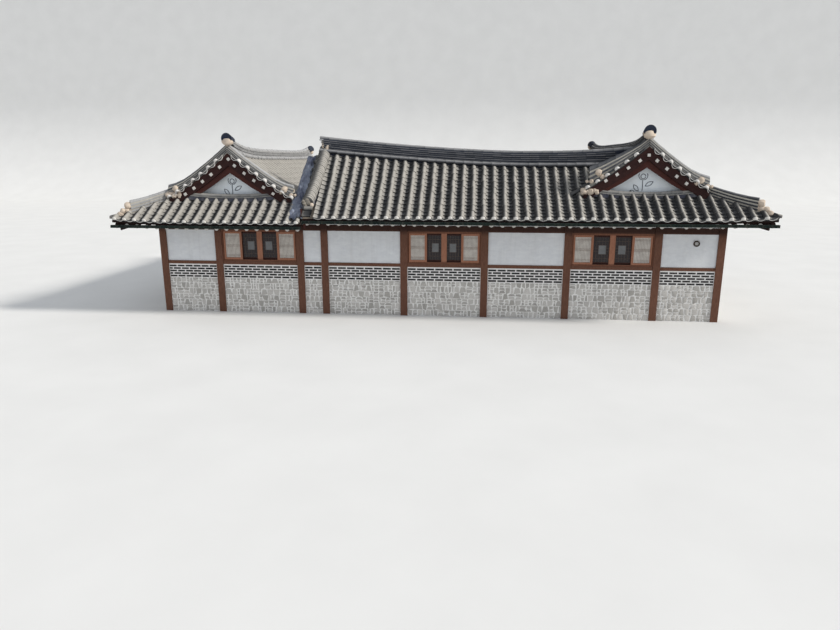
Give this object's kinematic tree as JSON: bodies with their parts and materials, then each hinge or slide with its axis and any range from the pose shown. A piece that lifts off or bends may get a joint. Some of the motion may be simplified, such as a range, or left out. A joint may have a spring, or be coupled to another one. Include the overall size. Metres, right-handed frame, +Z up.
{
  "type": "hanok house",
  "caption": "One-storey Korean timber house with curved tiled roofs, a main block and two gabled wings round a rear court, and lattice windows and doors.",
  "frame": {"origin": "on the ground, under the middle of the whole house as seen from above", "axes": "+X along the front to the right as seen from the front, +Y from the front to the rear court, +Z up"},
  "size_m": [18.8, 11.01, 5.4539],
  "materials": {
    "roof_tile": "weathered grey roof tile",
    "ridge_tile": "dark grey ridge tile bedded in lime",
    "timber": "red-brown oil-painted timber",
    "bargeboard": "dark red-brown painted board",
    "plaster": "off-white lime plaster",
    "brick": "dark grey brick with broad white joints",
    "masonry": "pale cut granite with white joints",
    "lattice_wood": "orange-brown varnished wood",
    "floor_wood": "plain oiled floor boards",
    "gutter_metal": "dark green painted sheet",
    "flashing_metal": "dull zinc sheet",
    "vent_metal": "dull light metal"
  },
  "bodies": {
    "root": {"main_roof": "roof_tile", "right_wing_roof": "roof_tile", "left_wing_roof": "roof_tile", "main_ridge": "ridge_tile", "main_verge_ridge": "ridge_tile", "main_gable_wall": "plaster", "front_plaster_wall": "plaster", "main_bargeboards": "bargeboard", "valley_flashing": "flashing_metal", "front_gutter": "gutter_metal", "left_wing_gutter": "gutter_metal", "right_wing_ridge": "ridge_tile", "right_front_ridges": "ridge_tile", "right_rear_ridges": "ridge_tile", "right_front_gable_wall": "plaster", "right_rear_gable_wall": "plaster", "right_plaster_wall": "plaster", "right_rear_plaster_wall": "plaster", "right_front_bargeboards": "bargeboard", "right_rear_bargeboards": "bargeboard", "right_timber_frame": "timber", "right_rear_timber_frame": "timber", "right_court_timber_frame": "timber", "right_masonry_wall": "masonry", "right_rear_masonry_wall": "masonry", "right_court_stone_base": "masonry", "right_court_lattice_doors": "lattice_wood", "right_wing_front_window": "lattice_wood", "right_wing_floor": "floor_wood", "left_wing_ridge": "ridge_tile", "left_front_ridges": "ridge_tile", "left_rear_ridges": "ridge_tile", "left_front_gable_wall": "plaster", "left_rear_gable_wall": "plaster", "left_plaster_wall": "plaster", "left_rear_plaster_wall": "plaster", "left_front_bargeboards": "bargeboard", "left_rear_bargeboards": "bargeboard", "left_timber_frame": "timber", "left_rear_timber_frame": "timber", "left_court_timber_frame": "timber", "left_masonry_wall": "masonry", "left_rear_masonry_wall": "masonry", "left_court_stone_base": "masonry", "left_court_lattice_doors": "lattice_wood", "left_wing_front_window": "lattice_wood", "left_wing_floor": "floor_wood", "front_timber_frame": "timber", "main_court_timber_frame": "timber", "front_stone_wall": "masonry", "main_court_stone_base": "masonry", "front_brick_band": "brick", "main_front_window": "lattice_wood", "main_court_left_doors": "lattice_wood", "main_court_right_doors": "lattice_wood", "hall_sliding_doors": "lattice_wood", "wall_vent": "vent_metal", "main_floor": "floor_wood"}
  },
  "joints": []
}
